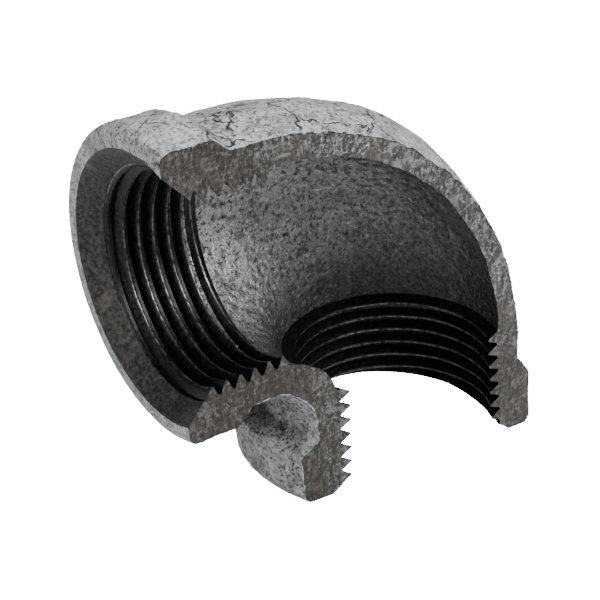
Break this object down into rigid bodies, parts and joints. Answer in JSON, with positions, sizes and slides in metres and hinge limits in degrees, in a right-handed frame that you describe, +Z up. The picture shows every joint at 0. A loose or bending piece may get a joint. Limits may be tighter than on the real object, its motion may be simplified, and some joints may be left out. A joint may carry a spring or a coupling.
{
  "type": "pipe elbow",
  "caption": "Cutaway 90 degree pipe elbow with beaded ends and a taper pipe thread in each socket, sawn open lengthways so that its wall, threads and bore show.",
  "frame": {"origin": "centre of the outlet mouth, on its end face", "axes": "+Z up the outlet's axis into the elbow, the inlet's mouth facing -X at z = 39.45 mm, the sawn section facing -Y"},
  "size_m": [0.0627, 0.0296, 0.0643],
  "materials": {
    "cast_iron_skin": "hot-dip galvanised, matt, pitted",
    "machined_thread": "machined, dark, with bright crests"
  },
  "bodies": {
    "root": {"bend_wall": "cast_iron_skin", "inlet_socket_wall": "cast_iron_skin", "outlet_socket_wall": "cast_iron_skin", "inlet_band": "cast_iron_skin", "outlet_band": "cast_iron_skin", "inlet_thread": "machined_thread", "outlet_thread": "machined_thread"}
  },
  "joints": []
}
